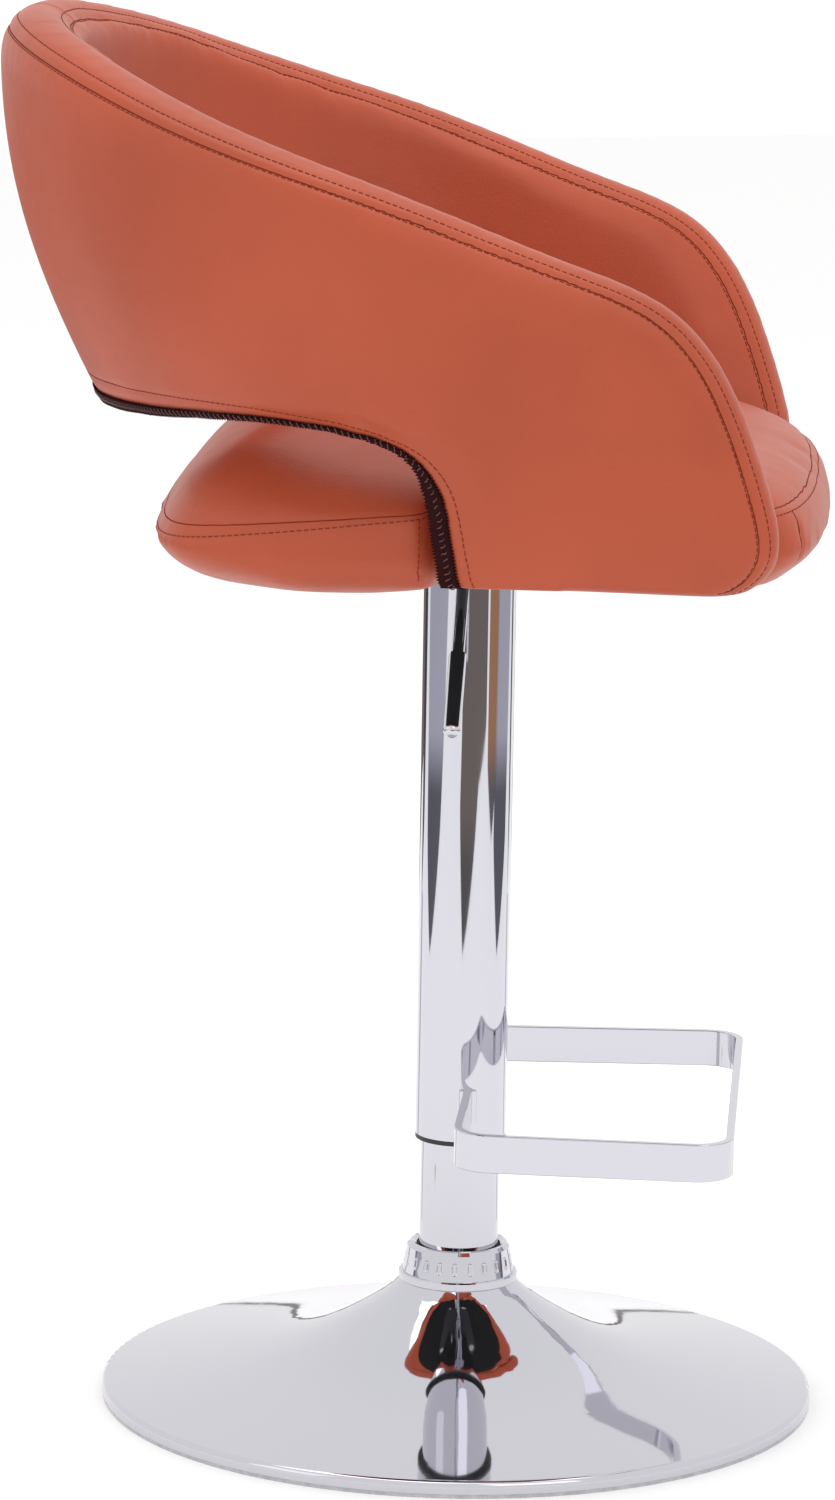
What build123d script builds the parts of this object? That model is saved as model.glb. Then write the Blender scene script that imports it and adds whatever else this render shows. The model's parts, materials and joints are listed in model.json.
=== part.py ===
"""Gas-lift swivel bar stool with a wrap-around back, a footrest loop and a trumpet base.

Millimetres. +Z is up, the sitter faces -Y, and the column stands on the Z axis with the floor at Z = 0.
The stool is drawn at a mid height: the lift can still go down by 60 and up by 150.
"""
from build123d import *
import math
import os

UP_FROM_BASE = (Align.CENTER, Align.CENTER, Align.MIN)

# ---- base ----
BASE_R = 225.0
RIM_TOP = 10.5
RIM_ROUND = 4.0
NECK_R = 37.0
NECK_TOP = 76.0
DISH_SKIN = 2.4
FLOOR_RING_H = 2.6
BALLAST_R = 216.0
BALLAST_Z = (3.0, 6.0)
SOCKET_R = 29.0
SOCKET_TOP = 60.0
SOCKET_FLANGE_R = 46.0
SOCKET_BOLT_CIRCLE = 37.5
SOCKET_BOLT_R = 3.0
SOCKET_FLANGE_T = 4.0
BALLAST_BORE = 12.0
FLOOR_RING_BORE = 205.0
FLOOR_RING_LIP = 5.5

# ---- collar round the foot of the column ----
COLLAR_BAND_R = 37.5
COLLAR_BAND_TOP = 81.5
COLLAR_TOP = 100.0
COLLAR_BORE = 26.6
DIMPLES = 22
DIMPLE_R = 3.0
DIMPLE_Z = 89.8
DIMPLE_CIRCLE = 36.1
DIMPLE_TILT = -9.0
DIMPLE_HALF = 2.2
SEAL_LOW = 88.0

# ---- column and gas spring ----
COLUMN_R = 25.0
COLUMN_WALL = 1.5
COLUMN_Z = (6.0, 420.0)
COLUMN_FLOOR = 3.0
GUIDE_BUSH_LENGTH = 70.0
SPRING_R = 14.0
SPRING_WALL = 1.6
SPRING_Z = (105.0, 488.0)
TAPER_TOP_Z = 527.0
TAPER_TOP_R = 13.0
ROD_R = 5.0
ROD_Z = (3.2, 296.0)
PISTON_Z = (282.0, 294.0)
VALVE_R = 3.0
VALVE_TOP_Z = 533.1
RUNNING = 0.06

# ---- thrust bearing under the rod ----
BEARING_R = 17.0
BALL_R = 2.0
BALL_COUNT = 12
BALL_CIRCLE = 11.5
RACE_T = 2.0
BUMPER_TOP = 44.5

# ---- outer tube and footrest ----
TUBE_R = 28.75
TUBE_WALL = 1.5
TUBE_Z = (171.0, 530.0)
BUSH_LIP = 3.0
BUSH_LENGTH = 30.0
BAR_T = 5.0
BAR_Z = (182.5, 206.0)
FOOTREST_FRONT = 175.0
FOOTREST_REAR = 3.5
FOOTREST_HALF_FRONT = 153.5
FOOTREST_HALF_REAR = 146.0
FOOTREST_CORNER = 24.0

# ---- seat plate, lever and fixings ----
PLATE_TOP = 551.0
PLATE_T = 2.5
FLANGE_SIZE = (180.0, 140.0)
PAN_SIZE = (100.0, 80.0)
SOCKET_BOSS_R = 20.0
PIVOT_X = -22.0
LEVER_Z = 537.5
LEVER_R = 4.0
LEVER_BEND_X = -64.9
LEVER_FALL = 40.0
LEVER_REACH = 126.6
SLEEVE_R = 5.4
SLEEVE_START = 62.6
PIVOT_PIN_R = 2.0
BOLT_X = 74.0
BOLT_Y = 56.0
BOLT_R = 3.0

# ---- seat ----
SEAT_BOTTOM = 552.0
SEAT_TOP = 648.0
SEAT_DOME_R = 600.0
SEAT_DOME_Y = -20.0
SEAT_HALF = 234.0
SEAT_REAR_Y = 182.0
SEAT_REAR_CORNER_Y = 174.0
SEAT_REAR_ROUND = 62.0
SEAT_FRONT_ROUND = 40.0
SEAT_NOSE_Y = -223.0
SEAT_FRONT_CORNER_Y = -187.0
SEAT_TOP_ROUND = 12.0
SEAT_BOTTOM_ROUND = 30.0
BOARD_Z = (553.0, 565.0)
BOARD_SIZE = (368.0, 350.0)
BOARD_CORNER = 140.0
BOARD_Y = -15.0
DUST_T = 1.0
ARM_FOOT_Y = -136.0
ARM_FOOT_LENGTH = 270.0
BRACKET_Y = -100.0
BRACKET_W = 34.0
BRACKET_T = 3.0
BRACKET_FOOT_X = 120.0
BRACKET_TOP_Z = 640.0
SCREW_R = 2.2

# ---- back band: half width and rearmost Y of its outer face at rising heights ----
BAND_LEVELS = (
    (540.0, 236.0, 190.0),
    (655.0, 254.0, 238.0),
    (735.0, 263.0, 272.0),
    (845.0, 268.0, 291.0),
    (905.0, 267.0, 290.0),
)
BAND_FRONT_Y = -270.0
BAND_WALL = 46.0
FRAME_DEPTH = (17.0, 29.0)
FRAME_TOP_LINE = (
    (300.0, 861.0),
    (217.0, 838.0),
    (85.0, 784.0),
    (-109.0, 709.0),
    (-150.0, 665.0),
    (-176.0, 590.0),
)
FRAME_LOW_LINE = (
    (300.0, 662.0),
    (142.0, 674.0),
    (66.0, 670.0),
    (10.0, 650.0),
    (-22.0, 610.0),
    (-34.0, 568.0),
)
FRAME_TOE = (-172.0, 568.0)
RIM_LINE = (
    (300.0, 879.0),
    (262.0, 875.0),
    (217.0, 857.0),
    (157.0, 833.0),
    (109.0, 816.0),
    (46.0, 795.5),
    (-15.0, 773.0),
    (-75.0, 750.0),
    (-109.0, 736.5),
    (-131.0, 723.5),
    (-146.0, 709.0),
    (-162.0, 685.0),
    (-181.0, 640.0),
    (-193.0, 600.0),
)
ARM_TOE = ((-195.0, 583.0), (-189.0, 569.0), (-172.0, 559.0))
LOWER_LINE = (
    (300.0, 631.0),
    (228.0, 636.0),
    (171.0, 642.5),
    (122.0, 646.5),
    (80.0, 644.5),
    (52.0, 640.0),
    (31.0, 631.5),
    (17.0, 616.0),
    (12.0, 600.0),
    (8.0, 572.0),
    (4.0, 554.0),
)
HALF_SPAN = 300.0

# ---- zip ----
ZIP_WIDTH = 8.0
ZIP_DEPTH = 2.4
COIL_BAND = (2.6, 5.4)
COIL_PROUD = 1.3
SLIDER_PROUD = 2.6
SLIDER_PLACE = (1.0, 562.0)
SLIDER_SIZE = (7.0, 11.0)


def save(node, shape):
    """Write one node's STEP file."""
    os.makedirs("parts", exist_ok=True)
    export_step(shape, f"parts/{node}.step")


def ring(r_out, r_in, z_low, z_high):
    """A plain sleeve, washer or tube on the column axis."""
    sleeve = Cylinder(r_out, z_high - z_low) - Cylinder(r_in, z_high - z_low)
    return Pos(0, 0, (z_low + z_high) / 2) * sleeve


def rod_between(radius, z_low, z_high):
    """A plain round bar on the column axis."""
    return Pos(0, 0, (z_low + z_high) / 2) * Cylinder(radius, z_high - z_low)


def turned(*edges):
    """A solid turned about the column axis from a closed outline of (radius, height) edges."""
    return revolve(make_face(Plane.XZ * Wire(list(edges))), Axis.Z)


def turned_polygon(*points):
    """A solid turned about the column axis from corner points (radius, height)."""
    outline = Polyline(*points, close=True)
    return revolve(make_face(Plane.XZ * outline), Axis.Z)


def around(count, radius, start=0.0):
    """Evenly spaced places on a circle about the column axis."""
    return PolarLocations(radius, count, start_angle=start)


def copies(places, shape):
    """A copy of a shape at each place, as one group of separate solids."""
    return Compound([solid for one in places * shape for solid in one.solids()])


# ---- base ----
def base_dish():
    """Pressed steel dish: rolled rim, shallow slope and trumpet neck with a flat top."""
    slope = ((BASE_R - RIM_ROUND, RIM_TOP), (160, 22), (100, 37), (57, 59.5), (NECK_R, NECK_TOP))
    inner = [(r, z - DISH_SKIN) for r, z in slope]
    inner[0] = (BASE_R - RIM_ROUND, RIM_TOP - DISH_SKIN)
    skin = DISH_SKIN / 1.6
    top = Spline(*slope, tangents=[(-1, 0.19), (-0.6, 0.8)])
    under = Spline(*reversed(inner), tangents=[(0.6, -0.8), (1, -0.19)])
    bore = COLUMN_R + RUNNING
    outline = [
        Line((BASE_R, FLOOR_RING_H), (BASE_R, RIM_TOP - RIM_ROUND)),
        RadiusArc((BASE_R, RIM_TOP - RIM_ROUND), slope[0], -RIM_ROUND),
        top,
        Line(slope[-1], (bore, NECK_TOP)),
        Line((bore, NECK_TOP), (bore, NECK_TOP - DISH_SKIN)),
        Line((bore, NECK_TOP - DISH_SKIN), inner[-1]),
        under,
        Line(inner[0], (BASE_R - skin, RIM_TOP - RIM_ROUND)),
        Line((BASE_R - skin, RIM_TOP - RIM_ROUND), (BASE_R - skin, FLOOR_RING_H)),
        Line((BASE_R - skin, FLOOR_RING_H), (BASE_R, FLOOR_RING_H)),
    ]
    return turned(*outline)


def floor_ring():
    """Plastic ring under the rim, with a lip that fits inside it."""
    rim_inside = BASE_R - DISH_SKIN / 1.6
    return turned_polygon(
        (FLOOR_RING_BORE, 0),
        (BASE_R - 0.5, 0),
        (BASE_R - 0.5, FLOOR_RING_H),
        (rim_inside, FLOOR_RING_H),
        (rim_inside, FLOOR_RING_LIP),
        (BALLAST_R, FLOOR_RING_LIP),
        (BALLAST_R, FLOOR_RING_H),
        (FLOOR_RING_BORE, FLOOR_RING_H),
    )


def ballast_plate():
    """Steel disc that weights the base and carries the column socket."""
    plate = ring(BALLAST_R, BALLAST_BORE, *BALLAST_Z)
    return plate - copies(around(4, SOCKET_BOLT_CIRCLE, 45), Cylinder(SOCKET_BOLT_R + 0.2, 20))


def column_socket():
    """Flanged sleeve that holds the foot of the column."""
    sleeve = ring(SOCKET_R, COLUMN_R, BALLAST_Z[1], SOCKET_TOP)
    flange = ring(SOCKET_FLANGE_R, COLUMN_R, BALLAST_Z[1], BALLAST_Z[1] + SOCKET_FLANGE_T)
    return sleeve + flange - copies(around(4, SOCKET_BOLT_CIRCLE, 45), Cylinder(SOCKET_BOLT_R + 0.2, 30))


def socket_bolts():
    """Four hex bolts that clamp the socket's flange to the ballast plate."""
    flange_top = BALLAST_Z[1] + SOCKET_FLANGE_T
    head = extrude(RegularPolygon(5.2, 6), 4)
    shank = Pos(0, 0, -6.8) * Cylinder(SOCKET_BOLT_R, 6.8, align=UP_FROM_BASE)
    return copies(around(4, SOCKET_BOLT_CIRCLE, 45), Pos(0, 0, flange_top) * (head + shank))


def base_collar():
    """Cover collar round the column's foot, with a flange band and a row of oval dimples."""
    side_low = COLLAR_BAND_R - 2.2
    collar = turned_polygon(
        (COLLAR_BORE, NECK_TOP),
        (COLLAR_BAND_R - 0.6, NECK_TOP),
        (COLLAR_BAND_R, NECK_TOP + 0.6),
        (COLLAR_BAND_R, COLLAR_BAND_TOP - 0.8),
        (COLLAR_BAND_R - 0.8, COLLAR_BAND_TOP),
        (side_low, COLLAR_BAND_TOP),
        (32.4, COLLAR_TOP - 2.6),
        (30.6, COLLAR_TOP - 0.5),
        (29.0, COLLAR_TOP),
        (COLLAR_BORE, COLLAR_TOP - 1.6),
    )
    tip = Pos(0, 0, DIMPLE_HALF) * Sphere(DIMPLE_R)
    dimple = Cylinder(DIMPLE_R, 2 * DIMPLE_HALF) + tip + mirror(tip, Plane.XY)
    leaned = Pos(0, 0, DIMPLE_Z) * Rot(0, DIMPLE_TILT, 0) * dimple
    return collar - copies(around(DIMPLES, DIMPLE_CIRCLE), leaned)


def base_pieces():
    """Everything that stands still with the base."""
    column_inside = COLUMN_R - COLUMN_WALL
    save("floor_ring", floor_ring())
    save("ballast_plate", ballast_plate())
    save("base_dish", base_dish())
    save("column_socket", column_socket())
    save("socket_bolts", socket_bolts())
    save("base_collar", base_collar())
    save("collar_seal", ring(COLLAR_BORE, COLUMN_R, SEAL_LOW, COLLAR_TOP - 2.4))
    barrel = ring(COLUMN_R, column_inside, *COLUMN_Z)
    foot = ring(column_inside, ROD_R + 0.3, COLUMN_Z[0], COLUMN_Z[0] + COLUMN_FLOOR)
    save("column_tube", barrel + foot)
    bush = ring(column_inside, SPRING_R + RUNNING, COLUMN_Z[1] - GUIDE_BUSH_LENGTH, COLUMN_Z[1])
    brim = ring(COLUMN_R - 0.3, SPRING_R + RUNNING, COLUMN_Z[1], COLUMN_Z[1] + 3)
    save("guide_bush", bush + brim)


# ---- thrust bearing and piston rod ----
def bearing_and_rod_pieces():
    """The bearing on the column's floor, and what turns on it with the piston rod."""
    race_low = COLUMN_Z[0] + COLUMN_FLOOR
    ball_low = race_low + RACE_T
    washer_low = ball_low + 2 * BALL_R + 0.04
    ball_mid = ball_low + BALL_R
    save("bearing_race", ring(BEARING_R, ROD_R + 0.3, race_low, ball_low))
    places = around(BALL_COUNT, BALL_CIRCLE)
    save("bearing_balls", copies(places, Pos(0, 0, ball_mid) * Sphere(BALL_R)))
    pockets = copies(places, Pos(0, 0, ball_mid) * Cylinder(BALL_R + 0.1, 4))
    save("bearing_cage", ring(15, 8, ball_mid - 0.8, ball_mid + 0.8) - pockets)
    washer_top = washer_low + RACE_T
    save("bearing_washer", ring(BEARING_R, ROD_R, washer_low, washer_top))
    bumper = turned_polygon(
        (ROD_R, washer_top),
        (BEARING_R - 1, washer_top),
        (BEARING_R - 4, (washer_top + BUMPER_TOP) / 2),
        (BEARING_R - 2, BUMPER_TOP),
        (ROD_R, BUMPER_TOP),
    )
    save("rod_bumper", bumper)
    groove = ring(ROD_R + 1, ROD_R - 1, 4.2, 5.6)
    save("piston_rod", rod_between(ROD_R, *ROD_Z) - groove)
    save("rod_clip", ring(ROD_R + 3.5, ROD_R - 1, 4.2, 5.6))
    bore = SPRING_R - SPRING_WALL
    seal_z = (PISTON_Z[0] + 4, PISTON_Z[1] - 4)
    piston = ring(bore - 0.4, ROD_R, *PISTON_Z) - ring(bore, bore - 2.4, *seal_z)
    save("piston", piston)
    save("piston_seal", ring(bore - RUNNING, bore - 2.4, *seal_z))


# ---- gas spring's cylinder and outer tube ----
def spring_pieces():
    """The pressure tube with its end guide, and the valve pin in its taper."""
    bore = SPRING_R - SPRING_WALL
    low, high = SPRING_Z
    barrel = ring(SPRING_R, bore, low, high)
    taper = turned_polygon(
        (0, high - 12),
        (bore, high - 12),
        (bore, high),
        (SPRING_R, high),
        (TAPER_TOP_R, TAPER_TOP_Z),
        (0, TAPER_TOP_Z),
    )
    pin_hole = rod_between(VALVE_R + RUNNING, high - 12, TAPER_TOP_Z)
    save("pressure_tube", barrel + taper - pin_hole)
    save("rod_guide", ring(bore, ROD_R + RUNNING, low, low + 16))
    save("rod_seal", ring(bore, ROD_R + RUNNING, low + 16, low + 23))
    pin = rod_between(VALVE_R, high - 8, VALVE_TOP_Z)
    save("valve_pin", chamfer(pin.edges().sort_by(Axis.Z)[-1], 1.6))


def footrest_ring():
    """Flat bar bent into one loop that meets the outer tube on both sides."""
    front, rear = -FOOTREST_FRONT, -FOOTREST_REAR
    loop = None
    for inset in (0.0, BAR_T):
        wide_front = FOOTREST_HALF_FRONT - inset
        wide_rear = FOOTREST_HALF_REAR - inset
        outline = Polyline(
            (-wide_front, front + inset),
            (wide_front, front + inset),
            (wide_rear, rear - inset),
            (-wide_rear, rear - inset),
            close=True,
        )
        face = make_face(outline)
        face = fillet(face.vertices(), FOOTREST_CORNER - inset)
        loop = face if loop is None else loop - face
    bar = Pos(0, 0, BAR_Z[0]) * extrude(loop, BAR_Z[1] - BAR_Z[0])
    bar = fillet(bar.edges().group_by(Axis.Z)[-1] + bar.edges().group_by(Axis.Z)[0], 0.7)
    return bar - rod_between(TUBE_R, *TUBE_Z)


def footrest_welds(bar):
    """Weld beads in the four corners between the footrest's ends and the outer tube."""
    middle = (BAR_Z[0] + BAR_Z[1]) / 2
    bead = Cylinder(2.6, BAR_Z[1] - BAR_Z[0] - 3)
    beads = []
    for y in (-FOOTREST_REAR + 0.4, -FOOTREST_REAR - BAR_T - 0.4):
        reach = math.sqrt(TUBE_R**2 - y**2) + 0.6
        beads += [Pos(side * reach, y, middle) * bead for side in (-1, 1)]
    tube = rod_between(TUBE_R, *TUBE_Z)
    return Compound([solid for one in beads for solid in (one - tube - bar).solids()])


def outer_tube_pieces():
    """The sliding tube, its bush on the column, and the footrest welded to it."""
    inside = TUBE_R - TUBE_WALL
    low = TUBE_Z[0]
    save("outer_tube", ring(TUBE_R, inside, *TUBE_Z))
    sleeve = ring(inside, COLUMN_R + RUNNING, low, low + BUSH_LENGTH)
    lip = ring(TUBE_R - 0.2, COLUMN_R + RUNNING, low - BUSH_LIP, low)
    save("tube_bush", sleeve + lip)
    bar = footrest_ring()
    save("footrest", bar)
    save("footrest_welds", footrest_welds(bar))


# ---- seat plate, lever and fixings ----
def bolt_places():
    """Centres of the four bolts that hold the plate to the seat board."""
    return GridLocations(2 * BOLT_X, 2 * BOLT_Y, 2, 2)


def seat_plate():
    """Pressed plate: a flange under the seat and a pan that takes the taper socket and lever."""
    pan_low = TUBE_Z[1]
    flange_low = PLATE_TOP - PLATE_T
    flange = Pos(0, 0, flange_low) * extrude(RectangleRounded(*FLANGE_SIZE, 14), PLATE_T)
    outside = Pos(0, 0, pan_low) * extrude(RectangleRounded(*PAN_SIZE, 12), PLATE_TOP - pan_low)
    inner_size = [side - 2 * PLATE_T for side in PAN_SIZE]
    inner_depth = PLATE_TOP - pan_low - PLATE_T
    inside = Pos(0, 0, pan_low + PLATE_T) * extrude(RectangleRounded(*inner_size, 9.5), inner_depth)
    holes = copies(bolt_places(), Pos(0, 0, flange_low) * Cylinder(BOLT_R + 0.4, 20))
    socket_hole = rod_between(SOCKET_BOSS_R, pan_low, pan_low + PLATE_T)
    pin_hole = Pos(PIVOT_X, 0, LEVER_Z) * Rot(90, 0, 0) * Cylinder(PIVOT_PIN_R, PAN_SIZE[1] + 2)
    slot = Pos(-PAN_SIZE[0] / 2, 0, LEVER_Z + 2) * Box(12, 2 * LEVER_R + 3, 2 * LEVER_R + 6)
    return flange + outside - inside - holes - socket_hole - pin_hole - slot


def taper_socket():
    """Boss in the plate that grips the gas spring's taper."""
    low = SPRING_Z[1]
    return turned_polygon(
        (SPRING_R, low),
        (SOCKET_BOSS_R, low),
        (SOCKET_BOSS_R, TUBE_Z[1] + 1),
        (TAPER_TOP_R, TUBE_Z[1] + 1),
        (TAPER_TOP_R, TAPER_TOP_Z),
    )


def lever_points():
    """Inner end, bend, sleeve start and tip of the lever's centre line."""
    fall = math.radians(LEVER_FALL)
    places = [Vector(8, 0, LEVER_Z), Vector(LEVER_BEND_X, 0, LEVER_Z)]
    for run in (SLEEVE_START, LEVER_REACH):
        step = Vector(-math.cos(fall), 0, -math.sin(fall)) * run
        places.append(places[1] + step)
    return places


def lever_rod():
    """Round bar over the valve pin, bent down outside the plate."""
    inner, bend, _, tip = lever_points()
    end = bend + (tip - bend) * 0.9
    path = FilletPolyline(inner, bend, end, radius=14)
    bar = sweep(Plane(inner, z_dir=(-1, 0, 0)) * Circle(LEVER_R), path=path)
    pin = Pos(PIVOT_X, 0, LEVER_Z) * Rot(90, 0, 0) * Cylinder(PIVOT_PIN_R + RUNNING, 20)
    return bar - pin


def lever_sleeve(bar):
    """Thicker sleeve on the lever's outer end, with a bevelled start and a domed tip."""
    _, bend, start, tip = lever_points()
    length = (tip - start).length
    sleeve = extrude(Circle(SLEEVE_R), length)
    sleeve = chamfer(sleeve.edges().sort_by(Axis.Z)[0], 1.4)
    sleeve = fillet(sleeve.edges().sort_by(Axis.Z)[-1], 4.6)
    return Plane(start, z_dir=(tip - bend).normalized()) * sleeve - bar


def fixings():
    """Bolts, washers and tee nuts between the plate and the seat board."""
    washer_low = PLATE_TOP - PLATE_T - 1.6
    head = Pos(0, 0, washer_low - 5) * extrude(RegularPolygon(6.2, 6), 5)
    shank = Pos(0, 0, washer_low) * extrude(Circle(BOLT_R), BOARD_Z[1] - washer_low + 1)
    save("seat_bolts", copies(bolt_places(), head + shank))
    washer = extrude(Circle(8) - Circle(BOLT_R + 0.2), 1.6)
    save("bolt_washers", copies(bolt_places(), Pos(0, 0, washer_low) * washer))
    barrel = Pos(0, 0, BOARD_Z[0] + 3) * extrude(Circle(4.5), BOARD_Z[1] - BOARD_Z[0] - 3)
    flange = Pos(0, 0, BOARD_Z[1]) * extrude(Circle(9), 1.4)
    nut = barrel + flange - Cylinder(BOLT_R + 0.02, 2000)
    save("tee_nuts", copies(bolt_places(), nut))


def plate_and_lever_pieces():
    """Everything bolted under the seat, and the height lever."""
    save("seat_plate", seat_plate())
    save("taper_socket", taper_socket())
    pin = Pos(PIVOT_X, 0, LEVER_Z) * Rot(90, 0, 0) * Cylinder(PIVOT_PIN_R, PAN_SIZE[1])
    save("lever_pin", pin)
    bar = lever_rod()
    save("lever_rod", bar)
    save("lever_sleeve", lever_sleeve(bar))
    fixings()


# ---- back band ----
def shell_form(depth):
    """The band's outer form pulled in by a depth: half-round at the rear, straight at the sides."""
    sections = []
    for height, half, rear in BAND_LEVELS:
        half, rear = half - depth, rear - depth
        centre = rear - half
        outline = [
            Line((half, BAND_FRONT_Y), (half, centre)),
            ThreePointArc((half, centre), (0, rear), (-half, centre)),
            Line((-half, centre), (-half, BAND_FRONT_Y)),
            Line((-half, BAND_FRONT_Y), (half, BAND_FRONT_Y)),
        ]
        sections.append(Pos(0, 0, height) * make_face(Wire(outline)))
    return loft(sections)


def across(face):
    """A side-view face (Y, Z) pushed right across the stool."""
    return extrude(Plane.YZ * face, HALF_SPAN, both=True)


def side_face():
    """Side view of the band: rim, arm front, underside and the cut-out's edge."""
    return make_face(
        Wire([
            Spline(*RIM_LINE),
            Spline(RIM_LINE[-1], *ARM_TOE, tangents=[(-0.1, -1), (1, -0.2)]),
            Line(ARM_TOE[-1], LOWER_LINE[-1]),
            Spline(*reversed(LOWER_LINE)),
            Line(LOWER_LINE[0], RIM_LINE[0]),
        ])
    )


def frame_face():
    """Side view of the frame inside the band."""
    return make_face(
        Wire([
            Spline(*FRAME_TOP_LINE),
            Line(FRAME_TOP_LINE[-1], FRAME_TOE),
            Line(FRAME_TOE, FRAME_LOW_LINE[-1]),
            Spline(*reversed(FRAME_LOW_LINE)),
            Line(FRAME_LOW_LINE[0], FRAME_TOP_LINE[0]),
        ])
    )


def edge_strip(low, high):
    """Side view of a strip along the cut-out's edge, between two distances above it."""
    edge = Wire([Spline(*reversed(LOWER_LINE))])
    strip = None
    for distance in (high, low):
        if distance == 0:
            near = side_face()
        else:
            near = side_face() - trace(edge, 2 * distance)
        strip = near if strip is None else near - strip
    return strip


def slider_space():
    """The room the slider takes over the coil, at the foot of the cut-out's front edge on the +X side."""
    return Pos(HALF_SPAN / 2, *SLIDER_PLACE) * Box(HALF_SPAN, *SLIDER_SIZE)


def zip_slider(outer):
    """The zip's slider over the coil's lower end, standing proud of the band's outer face."""
    return (shell_form(-SLIDER_PROUD) - outer) & slider_space()


def back_pieces():
    """The padded band, the frame inside it and the zip along its lower edge."""
    outer = shell_form(0)
    profile = across(side_face())
    wall = (outer - shell_form(BAND_WALL)) & profile
    core = shell_form(FRAME_DEPTH[0]) - shell_form(FRAME_DEPTH[1])
    frame = core & across(frame_face())
    tape = (outer - shell_form(ZIP_DEPTH)) & across(edge_strip(0, ZIP_WIDTH))
    coil = (shell_form(-COIL_PROUD) - outer) & across(edge_strip(*COIL_BAND))
    save("back_frame", frame)
    save("zip_tape", tape)
    save("zip_coil", coil - slider_space())
    save("zip_slider", zip_slider(outer))
    return wall, frame, tape


# ---- seat ----
def seat_blank():
    """The cushion's full form before the arms are cut from it: a rounded square under a shallow dome."""
    half = SEAT_HALF
    front, rear = SEAT_FRONT_CORNER_Y, SEAT_REAR_CORNER_Y
    outline = [
        Line((half, front), (half, rear)),
        ThreePointArc((half, rear), (0, SEAT_REAR_Y), (-half, rear)),
        Line((-half, rear), (-half, front)),
        ThreePointArc((-half, front), (0, SEAT_NOSE_Y), (half, front)),
    ]
    face = make_face(Wire(outline))
    rows = face.vertices().group_by(Axis.Y)
    face = fillet(rows[-1], SEAT_REAR_ROUND)
    face = fillet(face.vertices().group_by(Axis.Y)[0], SEAT_FRONT_ROUND)
    blank = Pos(0, 0, SEAT_BOTTOM) * extrude(face, SEAT_TOP - SEAT_BOTTOM)
    blank = fillet(blank.edges().group_by(Axis.Z)[0], SEAT_BOTTOM_ROUND)
    dome = Pos(0, SEAT_DOME_Y, SEAT_TOP - SEAT_DOME_R) * Sphere(SEAT_DOME_R)
    blank = blank & dome
    crown = blank.faces().sort_by(Axis.Z)[-1]
    return fillet(crown.outer_wire().edges(), SEAT_TOP_ROUND)


def board_face():
    """Plan of the plywood seat board."""
    return Pos(0, BOARD_Y) * RectangleRounded(*BOARD_SIZE, BOARD_CORNER)


def seat_board():
    """Plywood board with stepped holes for the tee nuts."""
    low, high = BOARD_Z
    board = Pos(0, 0, low) * extrude(board_face(), high - low)
    holes = copies(bolt_places(), Pos(0, 0, low) * Cylinder(BOLT_R + 0.4, 10))
    barrels = copies(bolt_places(), Pos(0, 0, low + 3) * extrude(Circle(4.5), 20))
    return board - holes - barrels


def dust_cover():
    """Thin cloth stapled under the board, flush with the cushion's underside."""
    holes = copies(bolt_places(), Pos(0, 0, SEAT_BOTTOM) * Cylinder(BOLT_R + 0.4, 10))
    return Pos(0, 0, SEAT_BOTTOM) * extrude(board_face(), DUST_T) - holes


def bracket():
    """Steel angle from the seat board up the inner face of the frame's arm, on the +X side."""
    face_x = frame_inner_x(BRACKET_TOP_Z) - 0.5
    foot_x = frame_inner_x(BOARD_Z[1]) - 0.5
    side = Polyline(
        (BRACKET_FOOT_X, BOARD_Z[1]),
        (foot_x, BOARD_Z[1]),
        (face_x, BRACKET_TOP_Z),
        (face_x - BRACKET_T, BRACKET_TOP_Z),
        (foot_x - BRACKET_T, BOARD_Z[1] + BRACKET_T),
        (BRACKET_FOOT_X, BOARD_Z[1] + BRACKET_T),
        close=True,
    )
    return Pos(0, BRACKET_Y, 0) * extrude(Plane.XZ * make_face(side), BRACKET_W / 2, both=True)


def frame_inner_x(height):
    """Half width of the frame's inner face at a height, between the two lowest band levels."""
    (low, half_low, _), (high, half_high, _) = BAND_LEVELS[:2]
    share = (height - low) / (high - low)
    return half_low + share * (half_high - half_low) - FRAME_DEPTH[1]


def bracket_screws():
    """Wood screws down through each angle's foot into the board."""
    head = Pos(0, 0, BOARD_Z[1] + BRACKET_T) * extrude(Circle(4.2), 2)
    shank = Pos(0, 0, BOARD_Z[1] - 9) * extrude(Circle(SCREW_R), 9 + BRACKET_T)
    places = [
        Pos(side * x, BRACKET_Y + y, 0)
        for side in (-1, 1)
        for x, y in ((BRACKET_FOOT_X + 10, 8), (BRACKET_FOOT_X + 10, -8), (BRACKET_FOOT_X + 34, 0))
    ]
    return Compound([solid for place in places for solid in (place * (head + shank)).solids()])


def padded_pieces():
    """The upholstered band and cushion, and what they are built on."""
    wall, frame, tape = back_pieces()
    angles = bracket() + mirror(bracket(), Plane.YZ)
    screws = bracket_screws()
    save("arm_brackets", angles - screws)
    save("bracket_screws", screws)
    save("seat_board", seat_board() - screws)
    save("dust_cover", dust_cover())
    save("back_band", wall - frame - tape - angles)
    arm_foot = Pos(0, ARM_FOOT_Y, SEAT_BOTTOM) * Box(2 * HALF_SPAN, ARM_FOOT_LENGTH, 90, align=UP_FROM_BASE)
    arm_space = (shell_form(0) - shell_form(BAND_WALL)) & (across(side_face()) + arm_foot)
    recess = Pos(0, 0, SEAT_BOTTOM) * extrude(board_face(), BOARD_Z[1] - SEAT_BOTTOM)
    nut_pocket = copies(bolt_places(), Pos(0, 0, BOARD_Z[1]) * extrude(Circle(10), 3))
    cushion = seat_blank() - arm_space - recess - nut_pocket - angles - screws
    save("seat_cushion", cushion)


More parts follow.
